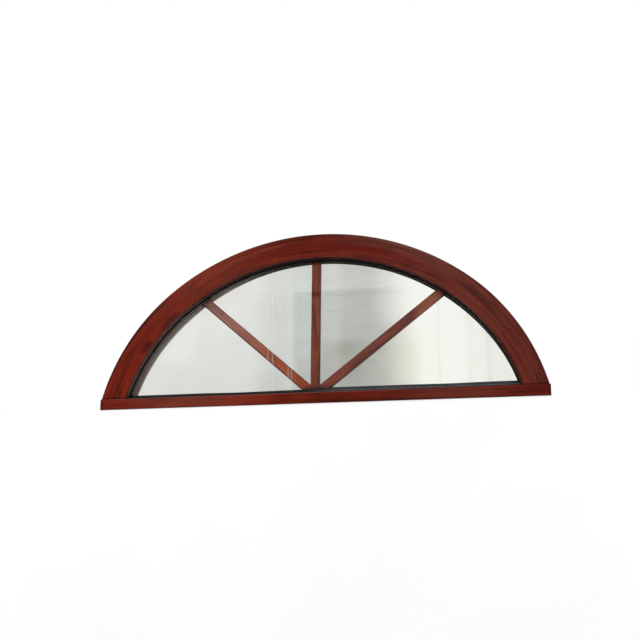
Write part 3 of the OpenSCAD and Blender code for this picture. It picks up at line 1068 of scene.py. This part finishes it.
def reach_of_bar(angle):
    """How far from the hub a line meets the inner face of the spacer."""
    low, high = REACH_LIMITS
    for _ in range(HALVINGS):
        middle = (low + high) / 2
        x, z = middle * math.cos(angle), HUB_Z + middle * math.sin(angle)
        lean = math.atan2(x, z - CROWN_Z)
        centre_x, centre_z, radius = 0, CROWN_Z, CROWN_RADIUS
        if abs(lean) > JUNCTION:
            centre_x, centre_z, radius = math.copysign(HAUNCH_X, x), HAUNCH_Z, HAUNCH_RADIUS
        inside = math.hypot(x - centre_x, z - centre_z) < radius - SPACER_INSET
        low, high = (middle, high) if inside else (low, middle)
    return low


def cut(shape, point, normal):
    """Takes off what lies beyond a plane and closes the cut."""
    every = [*shape.verts, *shape.edges, *shape.faces]
    trimmed = bmesh.ops.bisect_plane(shape, geom=every, plane_co=point, plane_no=normal, clear_outer=True)
    rim = [item for item in trimmed["geom_cut"] if isinstance(item, bmesh.types.BMEdge)]
    if rim:
        bmesh.ops.edgeloop_fill(shape, edges=rim)


def bar(name, angle, cuts):
    """A bar at an angle from the horizontal, cut by planes of (point, normal)."""
    outline = bar_outline()
    direction = Vector((math.cos(angle), 0, math.sin(angle)))
    sideways = Vector((-math.sin(angle), 0, math.cos(angle)))
    hub = Vector((0, FRONT_Y + BAR_MIDDLE, HUB_Z))
    far = reach_of_bar(angle) + INTO_SPACER
    shape = bmesh.new()
    layer = shape.verts.layers.float_vector.new(GRAIN)
    rows = []
    for step in range(BAR_STEPS + 1):
        along = BAR_START + (far - BAR_START) * step / BAR_STEPS
        row = []
        for across, depth in outline:
            vert = shape.verts.new(hub + direction * along + sideways * across + Vector((0, depth, 0)))
            vert[layer] = (along, across, depth)
            row.append(vert)
        rows.append(row)
    for near, beyond in zip(rows, rows[1:]):
        for index in range(len(outline)):
            other = (index + 1) % len(outline)
            shape.faces.new((near[index], near[other], beyond[other], beyond[index]))
    shape.faces.new(rows[0][::-1])
    shape.faces.new(rows[-1])
    bmesh.ops.recalc_face_normals(shape, faces=shape.faces)
    for point, normal in cuts:
        cut(shape, point, normal)
    bmesh.ops.recalc_face_normals(shape, faces=shape.faces)
    return as_object(name, shape)


# %% The three bars
LEFT_ANGLE = math.radians(180 - 41)
RIGHT_ANGLE = math.radians(38)
level_cut = ((0, 0, SPACER_TOP), (0, 0, -1))
right_cut = ((BAR_WIDTH / 2 * MM, 0, 0), (-1, 0, 0))
left_cut = ((-BAR_WIDTH / 2 * MM, 0, 0), (1, 0, 0))
for name, angle, cuts, material, node in (
    ("centre_bar_tube", math.pi / 2, [level_cut], centre_wood, "centre_bar"),
    ("left_bar_tube", LEFT_ANGLE, [level_cut, left_cut], left_wood, "left_bar"),
    ("right_bar_tube", RIGHT_ANGLE, [level_cut, right_cut], right_wood, "right_bar"),
):
    settle(bar(name, angle, cuts), material, "wood_look_bar", node)

# %% [markdown]
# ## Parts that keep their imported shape
# The strips, the sealant, the setting blocks and the two panes already have the right shape, so they stay
# as they were packed and only get their finish.

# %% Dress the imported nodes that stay
for node, material in (
    ("arch_outer_strip", strip_plastic),
    ("arch_inner_strip", strip_plastic),
    ("sill_lower_strip", strip_plastic),
    ("sill_upper_strip", strip_plastic),
    ("arch_sealant", edge_seal),
    ("sill_sealant", edge_seal),
    ("left_setting_block", block_plastic),
    ("right_setting_block", block_plastic),
    ("outer_pane", outer_glass),
    ("inner_pane", inner_glass),
):
    packed = nodes[node]
    for place in packed.material_slots:
        place.material = material
    print(node, "keeps its shape and gets", material.name)

# %% [markdown]
# ## Floor, light and sky
# The window is seen from a little below its sill, so the floor lies well under it, and a pale bench
# carries it. The front of the bench lies 2.5 mm behind the front of the window. The sky is plain white to
# the eye. The light that it sends is dimmer than it looks, and dimmer still from below, so that faces
# that look down stay dark.

# %% A pale floor
FLOOR_Z = -0.95
FLOOR_RADIUS = 3.2
FLOOR_SIDES = 96
ground = bmesh.new()
bmesh.ops.create_circle(ground, cap_ends=True, radius=FLOOR_RADIUS, segments=FLOOR_SIDES)
floor_mesh = bpy.data.meshes.new("studio_floor")
ground.to_mesh(floor_mesh)
ground.free()
floor = bpy.data.objects.new("studio_floor", floor_mesh)
floor.location = (0, 0, FLOOR_Z)
bpy.context.scene.collection.objects.link(floor)
concrete = Finish("pale_floor")
cloud = concrete.noise(concrete.place(), scale=1.4, detail=4)
floor_colour = concrete.blend(cloud, paint(226, 226, 224), paint(236, 236, 234))
floor_mesh.materials.append(concrete.surface({"Base Color": floor_colour, "Roughness": 0.7}))

# %% A pale bench under the window
BENCH_HALF = 1.3
BENCH_BACK = 0.7
BENCH_SETBACK = 2.5 * MM
bench_shape = bmesh.new()
bmesh.ops.create_cube(bench_shape, size=1)
for vert in bench_shape.verts:
    x = vert.co.x * 2 * BENCH_HALF
    front = FRONT_Y + BENCH_SETBACK
    y = front + (vert.co.y + 0.5) * (BENCH_BACK - front)
    z = FLOOR_Z * (0.5 - vert.co.z)
    vert.co = (x, y, z)
bench_mesh = bpy.data.meshes.new("studio_bench")
bench_shape.to_mesh(bench_mesh)
bench_shape.free()
bench = bpy.data.objects.new("studio_bench", bench_mesh)
bpy.context.scene.collection.objects.link(bench)
painted = Finish("pale_bench")
painted_cloud = painted.noise(painted.place(), scale=2.2, detail=4)
bench_colour = painted.blend(painted_cloud, paint(244, 244, 243), paint(250, 250, 249))
bench_mesh.materials.append(painted.surface({"Base Color": bench_colour, "Roughness": 0.7}))

# %% The sky
SKY_SEEN = (1.0, 1.0, 1.0, 1)
SKY_ABOVE = (0.62, 0.63, 0.65, 1)
SKY_BELOW = (0.16, 0.16, 0.16, 1)
world = bpy.data.worlds.new("white_studio")
bpy.context.scene.world = world
sky = Finish("white_studio", world)
height = sky.parts(sky.node("ShaderNodeTexCoord")["Generated"])[2]
sent = sky.blend(height.rising(-0.4, 0.5), SKY_BELOW, SKY_ABOVE)
looked_at = sky.node("ShaderNodeLightPath")["Is Camera Ray"]
shade = sky.node("ShaderNodeBackground", None, {"Color": sky.blend(looked_at, sent, SKY_SEEN)})[0]
sky.node("ShaderNodeOutputWorld", None, {"Surface": shade})

# %% Soft lamps
MIDDLE = Vector((0, 0, 0.2))


def softbox(name, place, size, power, colour=(1, 1, 1)):
    """A square lamp that faces the window."""
    lamp = bpy.data.lights.new(name, "AREA")
    lamp.energy = power
    lamp.size = size
    lamp.color = colour
    holder = bpy.data.objects.new(name, lamp)
    holder.location = place
    holder.rotation_euler = (MIDDLE - Vector(place)).to_track_quat("-Z", "Y").to_euler()
    bpy.context.scene.collection.objects.link(holder)
    return holder


softbox("left_softbox", (-1.9, -2.2, 1.6), 1.6, 55)
softbox("right_softbox", (2.4, -1.6, 0.7), 1.2, 26)
softbox("back_softbox", (0.8, 2.6, 1.8), 1.6, 40)

# %% [markdown]
# ## Camera
# The camera stands to the right of the window and below its sill, and looks up at it. Its place was found
# from the outlines of the arch, the sill and the bars. The small shift places the window in the frame.

# %% The camera
IMAGE_SIDE = 640
FOCAL_PIXELS = 938.3
OPTICAL_X = 300.6
OPTICAL_Y = 347.8
SENSOR = 36
ROLL = 0.0165
eye = Vector((0.5710, -2.3222 + FRONT_Y, -0.4651))
aim = Vector((-0.0333, FRONT_Y, 0.1492))
camera = bpy.data.cameras.new("view_from_below")
camera.sensor_width = SENSOR
camera.lens = SENSOR * FOCAL_PIXELS / IMAGE_SIDE
camera.shift_x = (IMAGE_SIDE / 2 - OPTICAL_X) / IMAGE_SIDE
camera.shift_y = (OPTICAL_Y - IMAGE_SIDE / 2) / IMAGE_SIDE
viewer = bpy.data.objects.new("view_from_below", camera)
facing = (aim - eye).to_track_quat("-Z", "Y").to_matrix() @ Matrix.Rotation(ROLL, 3, "Z")
viewer.matrix_world = Matrix.Translation(eye) @ facing.to_4x4()
bpy.context.scene.collection.objects.link(viewer)
bpy.context.scene.camera = viewer
bpy.context.scene.view_settings.view_transform = "Standard"
print("lens in mm:", round(camera.lens, 2))
